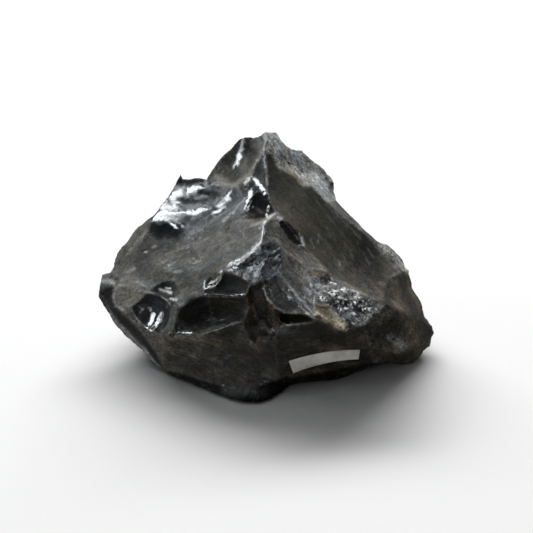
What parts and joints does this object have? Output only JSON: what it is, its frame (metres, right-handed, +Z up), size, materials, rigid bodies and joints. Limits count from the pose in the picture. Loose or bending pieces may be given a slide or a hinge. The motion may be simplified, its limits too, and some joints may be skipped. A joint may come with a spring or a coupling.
{
  "type": "obsidian chunk",
  "caption": "Broken lump of black volcanic glass with shell-shaped scars, sharp ridges and a crushed lip, and a narrow bare paper strip low on its front; rests on a flat underside",
  "frame": {"origin": "centre of the bounding box in plan, on the floor that the stone rests on", "axes": "+X to the right along the longest side, +Y away from the labelled front, +Z up, the shortest extent"},
  "size_m": [0.171, 0.1188, 0.1027],
  "materials": {
    "obsidian": "opaque near-black volcanic glass, glossy on fresh scars, with a thin grey-brown film of dust and weathering",
    "label_paper": "matt warm white paper, bare"
  },
  "bodies": {
    "root": {"obsidian_chunk": "obsidian", "paper_label": "label_paper"}
  },
  "joints": []
}
